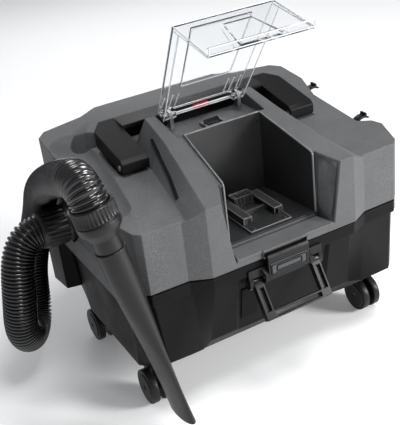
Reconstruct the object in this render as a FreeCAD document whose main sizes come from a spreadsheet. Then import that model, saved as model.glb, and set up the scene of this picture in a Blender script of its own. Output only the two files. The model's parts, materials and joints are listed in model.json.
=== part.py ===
"""Cordless shop vacuum: tub on casters, motor head, clear battery lid, latch, handles and hose.

Millimetres, +Z up, front towards -Y.  Drawing coordinates have y = 0 on the front wing
faces and z = 0 on the floor; every finished piece is moved back by the sheet's
origin_back and origin_side so that the origin lies under the middle of the body.
"""
import FreeCAD, Part
import math
import os
from FreeCAD import Placement, Rotation, Vector

# ---------------------------------------------------------------- driving dimensions
SIZES = [
    ("origin_back", 149.7), ("origin_side", 0.0),
    # tub and head
    ("tub_floor", 62.0), ("tub_front_floor", 98.0), ("tub_body_top", 187.0), ("tub_rim", 203.0),
    ("seal_thick", 3.0), ("skirt_bottom", 180.0), ("skirt_top", 214.0), ("wall_keep", 0.982),
    ("roof_front", 290.0), ("roof_rise", 0.127), ("roof_thick", 3.2),
    ("hump_front", 301.0), ("hump_middle", 337.0), ("hump_rear", 351.0), ("hump_back", 184.0),
    # battery bay
    ("bay_floor", 224.0), ("bay_wall", 2.4), ("bay_front", 15.0), ("bay_back", 122.0),
    ("bay_half_front", 66.0), ("bay_half_back", 57.0), ("lip_height", 218.0), ("strike_height", 211.0),
    ("rail_half", 30.0), ("rail_length", 62.0), ("base_thick", 3.0),
    # clear lid
    ("lid_pivot_back", 170.0), ("lid_pivot_height", 352.0), ("lid_open_angle", 68.0),
    ("lid_length", 163.0), ("lid_front_drop", 86.0), ("lid_thick", 2.4), ("lid_rise", 12.0),
    ("lid_slope", 12.1), ("lid_bend", 68.0),
    ("lid_half_back", 64.0), ("lid_half_front", 73.0), ("lid_flange", 15.0), ("lid_pin_radius", 2.5),
    # carry handle
    ("handle_pivot_back", 134.0), ("handle_pivot_height", 316.0), ("handle_half_in", 112.0),
    ("handle_half_out", 150.0), ("handle_rear", 228.0), ("handle_pin_radius", 4.0),
    # front latch and bail
    ("latch_half", 31.0), ("latch_pivot_height", 181.5), ("latch_pivot_front", 20.0), ("latch_side", -4.0),
    ("latch_pin_radius", 2.0), ("bail_pivot_height", 174.0), ("bail_pivot_front", 12.5),
    ("bail_half", 50.5), ("bail_band", 13.0), ("bail_reach", 50.0), ("bail_angle", 33.0),
    ("bail_pin_radius", 2.5),
    # power rocker
    ("rocker_pin", 1.5), ("rocker_back", 148.5), ("rocker_height", 328.6),
    # casters
    ("wheel_radius", 25.0), ("wheel_width", 10.0), ("wheel_gap", 9.0), ("axle_radius", 3.0),
    ("caster_side", 179.0), ("caster_front", 80.0), ("caster_rear", 262.0), ("caster_trail", 17.0),
    ("stem_radius", 5.0), ("hood_half", 4.0),
    # motor, fan and filter
    ("motor_back", 232.0), ("motor_radius", 38.0), ("motor_height", 62.0), ("shaft_radius", 4.0),
    ("fan_radius", 56.0), ("fan_height", 12.0), ("plate_height", 207.0), ("plate_thick", 3.0),
    ("filter_radius", 58.0), ("filter_height", 92.0), ("filter_wall", 12.0), ("cage_radius", 36.0),
    ("float_radius", 20.0),
    # ports
    ("port_back", 200.0), ("port_height", 233.0), ("port_bore", 19.0), ("port_wall", 3.0),
    ("blower_bore", 19.0), ("blower_height", 262.0), ("blower_length", 14.0),
    # hose
    ("clip_radius", 12.0), ("hose_diameter", 47.0), ("hose_wall", 4.0), ("cuff_radius", 27.0),
    ("tool_cuff_length", 30.0), ("tool_cone_length", 12.0), ("adapter_radius", 16.8),
    ("adapter_length", 20.0), ("nozzle_radius", 18.0), ("nozzle_wall", 2.5),
    # general
    ("running_gap", 0.05),
]

doc = FreeCAD.newDocument("shop_vacuum")
sheet = doc.addObject("Spreadsheet::Sheet", "Sizes")
for row, (alias, value) in enumerate(SIZES, start=1):
    sheet.set("A%d" % row, alias)
    sheet.set("B%d" % row, str(value))
    sheet.setAlias("B%d" % row, alias)
doc.recompute()

nodes = []
ABOVE = 420.0     # a height over every closed part, for tools that cut from above
BELOW = 150.0     # a height under the head, for blocks that are trimmed to it
MIDDLE_BACK = 165.0   # depth of the body's middle, which outlines are drawn in towards


def size(alias):
    """A driving dimension, read back from the sheet."""
    return float(sheet.get(alias))


def node(obj, label):
    """Register a finished sub-part and move it to the row's origin."""
    obj.Label = label
    home = Placement(Vector(-size("origin_side"), -size("origin_back"), 0), Rotation())
    obj.Placement = home.multiply(obj.Placement)
    nodes.append(obj)
    return obj


# ---------------------------------------------------------------- parametric helpers
X_AXIS = Rotation(Vector(0, 1, 0), 90)     # turns a +Z primitive to point along +X
Y_AXIS = Rotation(Vector(1, 0, 0), -90)    # turns a +Z primitive to point along +Y
UPRIGHT = Rotation()


def cylinder(name, radius, length, base, turn=UPRIGHT):
    """A cylinder whose radius and length are sheet expressions."""
    obj = doc.addObject("Part::Cylinder", name)
    obj.setExpression("Radius", radius)
    obj.setExpression("Height", length)
    obj.Placement = Placement(Vector(*base), turn)
    return obj


def cone(name, radius_low, radius_high, length, base, turn=UPRIGHT):
    """A cone frustum bound to the sheet."""
    obj = doc.addObject("Part::Cone", name)
    obj.setExpression("Radius1", radius_low)
    obj.setExpression("Radius2", radius_high)
    obj.setExpression("Height", length)
    obj.Placement = Placement(Vector(*base), turn)
    return obj


def block(name, sides, corner, turn=UPRIGHT):
    """A box whose three sides are sheet expressions."""
    obj = doc.addObject("Part::Box", name)
    for prop, expression in zip(("Length", "Width", "Height"), sides):
        obj.setExpression(prop, expression)
    obj.Placement = Placement(Vector(*corner), turn)
    return obj


def cut(name, base, *tools):
    """Base minus the tools."""
    tool = tools[0]
    if len(tools) > 1:
        tool = fuse(name + "_tools", *tools)
    obj = doc.addObject("Part::Cut", name)
    obj.Base = base
    obj.Tool = tool
    return obj


def fuse(name, *parts):
    """Union of several objects."""
    obj = doc.addObject("Part::MultiFuse", name)
    obj.Shapes = list(parts)
    return obj


def pad(name, points, length, place):
    """A PartDesign body: a closed sketch outline padded by a sheet expression."""
    body = doc.addObject("PartDesign::Body", name)
    plane = next(f for f in body.Origin.OriginFeatures if f.Role == "XY_Plane")
    sketch = body.newObject("Sketcher::SketchObject", name + "_sketch")
    sketch.AttachmentSupport = [(plane, "")]
    sketch.MapMode = "FlatFace"
    corners = [Vector(x, y, 0) for x, y in points]
    for start, end in zip(corners, corners[1:] + corners[:1]):
        sketch.addGeometry(Part.LineSegment(start, end), False)
    feature = body.newObject("PartDesign::Pad", name + "_pad")
    feature.Profile = sketch
    feature.setExpression("Length", length)
    body.Placement = place
    doc.recompute()
    return body


def feature(name, shape):
    """A sub-part whose shape comes from Part's own functions."""
    obj = doc.addObject("Part::Feature", name)
    obj.Shape = shape
    return obj


# ---------------------------------------------------------------- shape helpers
def loop(half):
    """Full plan outline from its right half, listed front centre to rear centre."""
    inner = [p for p in half if p[0] > 0]
    ends = [p for p in half if p[0] == 0]
    mirror = [(-x, y) for x, y in reversed(inner)]
    return [ends[0]] + inner + [ends[-1]] + mirror


def wire(points, height):
    """Closed horizontal polygon."""
    corners = [Vector(x, y, height) for x, y in points]
    return Part.makePolygon(corners + corners[:1])


def keep(points, factor, middle=MIDDLE_BACK):
    """Outline drawn in towards the body's middle by a factor."""
    return [(x * factor, middle + (y - middle) * factor) for x, y in points]


def column(points, low, high):
    """Upright prism over a plan outline."""
    return Part.Face(wire(points, low)).extrude(Vector(0, 0, high - low))


def stack(sections):
    """Ruled solid through horizontal outlines given as (points, height)."""
    return Part.makeLoft([wire(points, height) for points, height in sections], True, True)


def section(points, along):
    """Closed polygon in the XZ plane at one depth."""
    corners = [Vector(x, along, z) for x, z in points]
    return Part.makePolygon(corners + corners[:1])


def rod(radius, start, end):
    """Plain round bar between two points."""
    axis = Vector(*end) - Vector(*start)
    return Part.makeCylinder(radius, axis.Length, Vector(*start), axis)


# ---------------------------------------------------------------- plan outlines, right half
HEAD_PLAN = loop([
    (0, -15), (110, -15), (137, -1), (189, 0), (198, 8), (212, 52), (206, 66), (188, 76),
    (188, 176), (206, 232), (205, 286), (192, 300), (130, 312), (101, 328), (0, 328)])
SKIRT_PLAN = loop([
    (0, -15), (110, -15), (137, -1), (189, 0), (198, 8), (212, 52), (213, 60),
    (213, 240), (206, 287), (193, 301), (131, 313), (102, 329), (0, 329)])
RIM_PLAN = loop([
    (0, -13), (109, -13), (136, -1), (188, 0), (197, 8), (209, 52), (208.5, 60),
    (208.5, 238), (203, 285), (190, 298), (130, 310), (100, 325), (0, 325)])
TUB_TOP = loop([
    (0, -8), (105, -8), (133, 3), (185, 4), (194, 12), (205, 53), (204, 61),
    (204, 236), (199, 282), (187, 294), (127, 306), (98, 321), (0, 321)])
TUB_BREAK = loop([
    (0, 9), (112, 9), (129, -1), (178, 0), (187, 8), (199, 55), (198, 63),
    (198, 234), (194, 276), (182, 288), (123, 300), (95, 313), (0, 313)])
TUB_FLOOR = loop([
    (0, 44), (108, 44), (126, 42), (172, 44), (181, 50), (196, 66), (196, 74),
    (196, 232), (188, 268), (174, 279), (118, 290), (92, 298), (0, 298)])


def tub_shape():
    """Dust tub: tapered body, rim collar, caster sockets and hollow inside."""
    floor = size("tub_floor")
    front_floor = size("tub_front_floor")
    top = size("tub_body_top")
    rim = size("tub_rim")
    body = stack([(TUB_FLOOR, floor), (TUB_BREAK, front_floor), (TUB_TOP, top)])
    collar = column(RIM_PLAN, top, rim)
    factor = size("wall_keep")
    room = stack([(keep(TUB_FLOOR, factor), floor + 3.0), (keep(TUB_BREAK, factor), front_floor + 3.0),
                  (keep(TUB_TOP, factor - 0.002), top)])
    mouth = column(keep(TUB_TOP, factor - 0.002), top - 0.01, rim + 1)
    shell = body.fuse(collar)
    # a shallow recess behind the latch and bail, open at the bottom edge
    lining = front_recess(3.5).common(room)
    shell = shell.cut(room).cut(mouth).fuse(lining).cut(front_recess(0.0))
    for x, y in caster_places():
        boss = Part.makeCylinder(9.5, 20, Vector(x, y, floor - 3))
        bore = Part.makeCylinder(size("stem_radius") + size("running_gap"), 17, Vector(x, y, floor - 4))
        shell = shell.fuse(boss).cut(bore)
    return shell.removeSplitter()


def front_recess(grow):
    """Prism that sinks the middle of the tub's front wall, wider by grow on all sides."""
    def plan(wall):
        back = wall + 4 + grow
        return [(-72 - grow, wall - 20), (72 + grow, wall - 20), (72 + grow, wall), (67 + grow, back),
                (-67 - grow, back), (-72 - grow, wall)]
    top = size("tub_body_top") + grow
    return stack([(plan(10), 80), (plan(9), size("tub_front_floor")), (plan(-8.0), top)])


def tool_holder(side):
    """Open bracket on a rear corner of the tub, for spare nozzles."""
    outer = [(192, 250), (218, 256), (222, 298), (204, 318), (178, 312), (172, 292)]
    inner = [(190, 264), (213, 262), (216, 295), (201, 311), (184, 307), (184, 286)]
    outer = [(side * x, y) for x, y in outer]
    inner = [(side * x, y) for x, y in inner]
    low = 96.0
    ring = column(outer, low, 172).cut(column(inner, low + 3, 173))
    wall = stack([(TUB_BREAK, size("tub_front_floor")), (TUB_TOP, size("tub_body_top"))])
    corner = stack([(TUB_FLOOR, size("tub_floor")), (TUB_BREAK, size("tub_front_floor"))])
    return largest(ring.cut(wall).cut(corner))


def caster_places():
    """The four swivel axes: front left, front right, rear left, rear right."""
    side = size("caster_side")
    return [(-side, size("caster_front")), (side, size("caster_front")),
            (-side, size("caster_rear")), (side, size("caster_rear"))]


def roof_block(drop, grow):
    """Everything under the head's top faces, lowered by drop and drawn in by grow."""
    start = -40.0
    end = 360.0
    rise = size("roof_rise")
    front = size("roof_front") - drop

    def flat(along):
        z = front + rise * along
        return section([(-240, BELOW), (240, BELOW), (240, z), (-240, z)], along)

    wings = Part.makeLoft([flat(start), flat(end)], True, True)

    def crown(along, foot, shoulder, height):
        base = front + rise * along - 2
        foot -= grow
        shoulder -= grow
        points = [(-foot, BELOW), (foot, BELOW), (foot, base), (shoulder, height - drop),
                  (-shoulder, height - drop), (-foot, base)]
        return section(points, along)

    hump = Part.makeLoft([crown(-16, 137, 109, size("hump_front")),
                          crown(122, 113, 88, size("hump_middle")),
                          crown(size("hump_back") - grow, 108, 84, size("hump_rear"))], True, True)
    return wings.fuse(hump)


def bay_prism(grow, low):
    """Battery bay space, and its front cut-out that flares outwards."""
    front = size("bay_front")
    back = size("bay_back") + grow
    wide = size("bay_half_front") + grow
    narrow = size("bay_half_back") + grow
    well = column([(-wide, front - 1), (wide, front - 1), (narrow, back), (-narrow, back)], low, ABOVE)
    mouth_low = stack([
        ([(-80, -30), (80, -30), (wide + 1, front), (-wide - 1, front)], size("lip_height") - grow),
        ([(-98, -30), (98, -30), (wide + 4, front), (-wide - 4, front)], 306.0),
        ([(-98, -30), (98, -30), (wide + 4, front), (-wide - 4, front)], ABOVE)])
    return well.fuse(mouth_low)


def hose_trough(grow):
    """Rounded valley across the left side of the head, where the hose is stowed."""
    radius = 47.0 + grow
    run = rod(radius, (-196, 64, 338), (-176, 236, 356))
    ends = Part.makeSphere(radius, Vector(-196, 64, 338)).fuse(
        Part.makeSphere(radius, Vector(-176, 236, 356)))
    sweep = rod(34.0 + grow, (-176, 236, 352), (-96, 318, 366))
    pocket = Part.makeCylinder(21.0 + grow, 90, Vector(-152, 246, 268 - grow))
    return run.fuse(ends).fuse(sweep).fuse(pocket)


def handle_pocket(grow):
    """Sunk seats in the head for the two handle arms and the cross bar."""
    inner = size("handle_half_in") - 1.5 - grow
    outer = size("handle_half_out") + 1.5 + grow
    front = size("handle_pivot_back") - 10 - grow
    low_front = size("handle_pivot_height") - 11 - grow
    low_back = low_front + 13
    shape = None
    for side in (-1, 1):
        points = [(front, low_front), (front + 30, low_front), (230 + grow, low_back),
                  (230 + grow, ABOVE), (front, ABOVE)]
        corners = [Vector(min(side * inner, side * outer), y, z) for y, z in points]
        face = Part.Face(Part.makePolygon(corners + corners[:1]))
        arm = face.extrude(Vector(outer - inner, 0, 0))
        shape = arm if shape is None else shape.fuse(arm)
    bar = Part.makeBox(2 * outer, 45 + 2 * grow, 90, Vector(-outer, 187 - grow, low_back - 4))
    return shape.fuse(bar)


def head_shape():
    """Upper housing: textured shell with hump, bay opening, waist, trough and handle seats."""
    rim = size("tub_rim") + size("seal_thick")
    skirt_low = size("skirt_bottom")
    skirt_top = size("skirt_top")
    upper = column(HEAD_PLAN, rim, ABOVE).common(roof_block(0, 0))
    shoulder = keep(SKIRT_PLAN, 0.985)
    skirt = stack([(SKIRT_PLAN, skirt_low), (SKIRT_PLAN, skirt_top), (shoulder, skirt_top + 6)])
    # the skirt hangs below the seam only along the two flanks
    front_gap = Part.makeBox(500, 90, rim - skirt_low + 5, Vector(-250, -30, skirt_low - 5))
    rear_gap = Part.makeBox(500, 120, rim - skirt_low + 5, Vector(-250, 236, skirt_low - 5))
    flank_room = column(keep(RIM_PLAN, 1.003), skirt_low - 5, rim)
    solid = upper.fuse(skirt).cut(front_gap).cut(rear_gap).cut(flank_room)
    factor = size("wall_keep")
    room = column(keep(HEAD_PLAN, factor), rim - 5, ABOVE).common(roof_block(size("roof_thick"), 3.0))
    skirt_room = column(keep(SKIRT_PLAN, factor - 0.004), rim - 5, skirt_top + 2)
    keep_out = bay_prism(3.0, size("bay_floor") - 8).fuse(hose_trough(3.0)).fuse(handle_pocket(3.0))
    keep_out = keep_out.fuse(rear_deck(3.0))
    hollow = room.fuse(skirt_room).cut(keep_out)
    shell = solid.cut(hollow)
    shell = shell.cut(bay_prism(size("bay_wall") + 0.15, size("bay_floor") - size("bay_wall") - 0.15))
    shell = shell.cut(hose_trough(0)).cut(handle_pocket(0)).cut(rear_deck(0))
    return shell


def rear_deck(grow):
    """Sunk ledge behind the bay that holds the power switch under the lid's hinge."""
    wide = 69.0 + grow
    low = 330.0 - grow
    return Part.makeBox(2 * wide, 62 + grow, 90, Vector(-wide, size("bay_back") + 3, low))


def largest(shape):
    """The biggest solid of a shape, so that trimmed slivers are dropped."""
    return max(shape.Solids, key=lambda solid: solid.Volume)


def build_shells():
    """Tub, seal, head housing and motor plate."""
    node(feature("tub_body", tub_shape()), "dust_tub")
    holders = Part.makeCompound([tool_holder(-1), tool_holder(1)])
    node(feature("holders", holders), "tool_holders")
    rim = size("tub_rim")
    ring = column(keep(RIM_PLAN, 0.988), rim, rim + size("seal_thick"))
    ring = ring.cut(column(keep(TUB_TOP, 0.972), rim - 1, rim + size("seal_thick") + 1))
    node(feature("seal_ring", ring), "tub_seal")
    shell = head_shape()
    port_y = size("port_back")
    port_z = size("port_height")
    port = rod(size("port_bore") + size("port_wall") + 0.1, (-150, port_y, port_z), (-260, port_y, port_z))
    seat = rod(size("cuff_radius") + 3.0, (-193, port_y, port_z), (-300, port_y, port_z))
    blower = rod(size("blower_bore") + size("port_wall") + 0.1,
                 (0, 290, size("blower_height")), (0, 360, size("blower_height")))
    shell = shell.cut(port).cut(seat).cut(blower)
    shell = shell.cut(column(SILL_PLAN, size("lip_height") - 4.2, ABOVE))
    notch = Part.makeBox(68, 15, 16, Vector(size("latch_side") - 34, -20, size("tub_rim") + 0.05))
    shell = shell.cut(notch)
    switch_hole = Part.makeBox(32.6, 22.6, 30, Vector(-16.3, size("rocker_back") - 11.3, 310))
    shell = shell.cut(switch_hole)
    node(feature("head_shell", largest(shell)), "head_housing")
    plate = column(keep(SKIRT_PLAN, 0.950), size("plate_height"), size("plate_height") + size("plate_thick"))
    below = size("plate_height") - 5
    opening = Part.makeCylinder(size("cage_radius") + 1, 20, Vector(0, size("motor_back"), below))
    drain = Part.makeCylinder(21, 20, Vector(-154, port_y, below))
    node(feature("plate", plate.cut(opening).cut(drain)), "motor_plate")


SILL_PLAN = [(-75, -16), (75, -16), (67, 12.6), (-67, 12.6)]


def bay_liner():
    """Dark inner well of the battery bay with a thin raised rim."""
    wall = size("bay_wall")
    floor = size("bay_floor")
    outer = bay_prism(wall, floor - wall)
    inner = bay_prism(0, floor)
    roof = roof_block(-1.5, 0)
    body = outer.cut(inner).common(roof)
    # nothing stands in front of the well's front edge except the sill
    front = Part.makeBox(240, 60, 300, Vector(-120, -60 + size("bay_front") - 2, size("lip_height") - 20))
    body = body.cut(front)
    return largest(body)


def build_bay():
    """Bay liner, sill, battery rails, terminals and their screws."""
    node(feature("bay", bay_liner()), "battery_bay")
    floor = size("bay_floor")
    sill = column(keep(SILL_PLAN, 0.997, 2.0), size("lip_height") - 4, size("lip_height"))
    # strike block under the sill's front edge, with the slot that the latch hooks into
    middle = size("latch_side")
    low = size("strike_height") - 4.9
    strike_wide = 67.0
    slot_wide = strike_wide - 1
    tall = size("lip_height") - low
    strike = Part.makeBox(strike_wide, 12, tall, Vector(middle - strike_wide / 2, -18, low))
    slot = Part.makeBox(slot_wide, 5, 7.5, Vector(middle - slot_wide / 2, -18.6, low + 1.5))
    sill = sill.fuse(strike).cut(slot)
    node(feature("sill", sill.removeSplitter()), "bay_sill_strike")
    thick = size("base_thick")
    base = block("base_plate", ("2 * Sizes.rail_half + 4", "Sizes.rail_length + 22", "Sizes.base_thick"),
                 (-size("rail_half") - 2, 18, floor))
    node(base, "battery_base_plate")
    length = size("rail_length")
    rail_z = floor + thick
    outline = [(-30, 0), (-24, 0), (-24, 7.5), (-18, 7.5), (-18, 11), (-30, 11)]
    stand = Rotation(Vector(1, 0, 0), 90)
    left = pad("rail_left", outline, "Sizes.rail_length", Placement(Vector(0, 38 + length, rail_z), stand))
    mirrored = [(-x, y) for x, y in reversed(outline)]
    right = pad("rail_right", mirrored, "Sizes.rail_length", Placement(Vector(0, 38 + length, rail_z), stand))
    cross = block("rail_cross", ("48", "4", "7"), (-24, 60, rail_z))
    node(fuse("rails", left, right, cross), "battery_rails")
    block_body = block("terminal_body", ("30", "16", "16"), (-15, 84, rail_z))
    slots = [block("terminal_slot_%d" % i, ("2", "12", "14"), (x - 1, 83, rail_z + 4))
             for i, x in enumerate((-9, -3, 3, 9))]
    node(cut("terminals", block_body, *slots), "terminal_block")
    blades = [block("blade_%d" % i, ("0.8", "9", "9"), (x - 0.4, 85, rail_z + 4))
              for i, x in enumerate((-9, -3, 3, 9))]
    node(fuse("blades", *blades), "terminal_contacts")
    heads = [cylinder("bay_screw_%d" % i, "3.2", "1.6", (x, 25, rail_z)) for i, x in enumerate((-24, 24))]
    node(fuse("bay_screws", *heads), "bay_screws")


def lid_frame(angle):
    """Placement that turns the closed lid about its hinge by an angle in degrees."""
    pivot = Vector(0, size("lid_pivot_back"), size("lid_pivot_height"))
    return Placement(Vector(), Rotation(Vector(1, 0, 0), angle), pivot)


def lid_shape():
    """Closed lid: sloping top panel, front panel, side flanges, hinge ears and grip scoop."""
    pivot_y = size("lid_pivot_back")
    pivot_z = size("lid_pivot_height")
    slope = math.radians(size("lid_slope"))
    along = Vector(0, -math.cos(slope), -math.sin(slope))
    up = Vector(0, -math.sin(slope), math.cos(slope))
    bend_turn = Rotation(Vector(1, 0, 0), size("lid_bend"))
    drop = bend_turn.multVec(along)
    out = bend_turn.multVec(up)
    pivot = Vector(0, pivot_y, pivot_z)
    thick = size("lid_thick")
    rise = size("lid_rise")
    back = pivot + up * rise - along * 7
    bend = pivot + up * rise + along * size("lid_length")
    foot = bend + drop * size("lid_front_drop")

    def slab(corners, normal, depth):
        return Part.Face(Part.makePolygon(corners + corners[:1])).extrude(normal * (-depth))

    def at(point, half):
        return Vector(half, point.y, point.z)

    narrow = size("lid_half_back")
    widen = (size("lid_half_front") - narrow) / (back.y - bend.y)

    def edge(point, side):
        return Vector(side * (narrow + widen * (back.y - point.y)), point.y, point.z)

    def across(near, far, normal, depth):
        return slab([edge(near, -1), edge(near, 1), edge(far, 1), edge(far, -1)], normal, depth)

    shape = across(back, bend, up, thick).fuse(across(bend, foot, out, thick))
    shape = shape.fuse(across(foot, foot + out * 9, drop, thick))
    depth = size("lid_flange")
    for side in (-1, 1):
        inward = Vector(-side * thick, 0, 0)
        for flank in ((back, bend, bend - up * depth, back - up * depth),
                      (bend, foot, foot - out * 3, bend - out * 6)):
            corners = [edge(point, side) for point in flank]
            shape = shape.fuse(Part.Face(Part.makePolygon(corners + corners[:1])).extrude(inward))
    # raised window on the top panel and a finger scoop in the front panel
    window_back = back + along * 48
    window_front = bend - along * 14
    window = slab([at(window_back, -38), at(window_back, 38), at(window_front, 44), at(window_front, -44)],
                  up * -1.0, 2.0)
    shape = shape.fuse(window)
    scoop_top = bend + drop * 30
    scoop = slab([at(scoop_top, -20), at(scoop_top, 20), at(foot, 30), at(foot, -30)], out * -1.0, 3.0)
    shape = shape.fuse(scoop)
    # hinge ears with ribs, bored for the pins
    bore = size("lid_pin_radius") + size("running_gap")
    for side in (-1, 1):
        for offset in (0.0, 11.0):
            x = side * (narrow - 5 - offset) - 2
            ear = Part.makeCylinder(6, 4, Vector(x, pivot_y, pivot_z), Vector(1, 0, 0))
            arm = Part.makeBox(4, 12, rise + 1, Vector(x, pivot_y - 6, pivot_z))
            arm = arm.common(Part.makeCylinder(60, 300, Vector(-150, pivot_y, pivot_z), Vector(1, 0, 0)))
            rib_side = [Vector(x, back.y, back.z - 1), Vector(x, back.y - 24, back.z - 6.2),
                        Vector(x, back.y - 4, back.z + 4)]
            rib = Part.Face(Part.makePolygon(rib_side + rib_side[:1])).extrude(Vector(2, 0, 0))
            shape = shape.fuse(ear).fuse(arm).fuse(rib)
    strip = Part.makeBox(2 * narrow - 34, 4, 9, Vector(-narrow + 17, pivot_y + 2, pivot_z + 2))
    shape = shape.fuse(strip)
    hole = rod(bore, (-90, pivot_y, pivot_z), (90, pivot_y, pivot_z))
    shape = shape.cut(hole)
    return shape


def build_lid():
    """Clear lid in its open rest pose, its label and the fixed hinge pins with their posts."""
    opened = -size("lid_open_angle")
    lid = feature("lid_cover", lid_shape())
    lid.Placement = lid_frame(opened)
    node(lid, "clear_lid")
    pivot_y = size("lid_pivot_back")
    pivot_z = size("lid_pivot_height")
    label = Part.makeBox(24, 0.6, 6.5, Vector(-12, pivot_y + 6.05, pivot_z + 3.2))
    tag = feature("lid_tag", label)
    tag.Placement = lid_frame(opened)
    node(tag, "lid_label")
    narrow = size("lid_half_back")
    for side, name in ((-1, "left"), (1, "right")):
        x = side * (narrow - 10.5)
        pin = cylinder("pin_" + name, "Sizes.lid_pin_radius", "20", (x - 10, pivot_y, pivot_z), X_AXIS)
        post = block("post_" + name, ("5.4", "10", "24"), (x - 2.7, pivot_y - 5, pivot_z - 19))
        node(fuse("lid_hinge_" + name, pin, post), "lid_hinge_pin_" + name)


def handle_shape():
    """Folding carry handle: two broad arms and a cross bar behind the lid."""
    inner = size("handle_half_in")
    outer = size("handle_half_out")
    y0 = size("handle_pivot_back")
    z0 = size("handle_pivot_height")
    y1 = size("handle_rear")
    side_view = [(y0 - 9, z0 - 5), (y0 - 9, z0 + 7), (y0 - 3, z0 + 12), (y1, z0 + 32), (y1, z0 + 12),
                 (y0 + 22, z0 - 9), (y0 - 4, z0 - 9)]
    shape = None
    for side in (-1, 1):
        corners = [Vector(min(side * inner, side * outer), y, z) for y, z in side_view]
        arm = Part.Face(Part.makePolygon(corners + corners[:1])).extrude(Vector(outer - inner, 0, 0))
        # the outer rear corner of each arm is cut back
        rear = [(side * (outer - 16), y1 + 1), (side * (outer + 2), y1 + 1), (side * (outer + 2), y1 - 22)]
        arm = arm.cut(column(rear, z0 - 40, z0 + 60))
        shape = arm if shape is None else shape.fuse(arm)
    bar_view = [(y1 - 26, z0 + 8), (y1 - 30.5, z0 + 24), (y1 - 30, z0 + 29), (y1, z0 + 32),
                (y1, z0 + 12), (y1 - 6, z0 + 7)]
    corners = [Vector(-inner - 1, y, z) for y, z in bar_view]
    bar = Part.Face(Part.makePolygon(corners + corners[:1])).extrude(Vector(2 * inner + 2, 0, 0))
    shape = shape.fuse(bar)
    hole = rod(size("handle_pin_radius") + size("running_gap"), (-outer - 5, y0, z0), (outer + 5, y0, z0))
    return shape.cut(hole).removeSplitter()


def build_handle():
    """Carry handle and the two stub pins that hold it to the head."""
    node(feature("handle_bow", handle_shape()), "carry_handle")
    y0 = size("handle_pivot_back")
    z0 = size("handle_pivot_height")
    near = size("handle_half_in") - 1.5
    far = size("handle_half_out") + 1.5
    for side, name in ((-1, "left"), (1, "right")):
        start = min(side * near, side * far)
        length = "Sizes.handle_half_out - Sizes.handle_half_in + 3"
        pin = cylinder("stub_" + name, "Sizes.handle_pin_radius", length, (start, y0, z0), X_AXIS)
        node(pin, "handle_pin_" + name)


def build_switch():
    """Power rocker in its frame on the sunk deck behind the bay."""
    y = size("rocker_back")
    z = size("rocker_height")
    frame = block("switch_outer", ("32", "22", "10"), (-16, y - 11, z - 5.6))
    well = block("switch_well", ("24", "16", "12"), (-12, y - 8, z - 3.6))
    seat = rod(size("rocker_pin") + size("running_gap"), (-14.2, y, z), (14.2, y, z))
    node(cut("switch_bezel", frame, well, feature("rocker_seat", seat)), "switch_frame")
    outline = [(-6.2, 1.5), (-6.2, 5.5), (0, 4), (6.2, 8), (6.2, 4), (2, -1.5), (-2, -1.5)]
    stand = Rotation(Vector(0, 0, 1), 90).multiply(Rotation(Vector(1, 0, 0), 90))
    rocker = pad("rocker_key", outline, "23", Placement(Vector(-11.5, y, z), stand))
    axle = rod(size("rocker_pin"), (-13.6, y, z), (13.6, y, z))
    node(fuse("rocker", rocker, feature("rocker_axle", axle)), "power_rocker")
    board = block("board", ("60", "34", "1.6"), (-30, 128, 296))
    chips = [block("chip_%d" % i, ("10", "8", "5"), (x, 136, 297.6)) for i, x in enumerate((-24, -6, 12))]
    node(fuse("control_board", board, *chips), "control_board")


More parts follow.
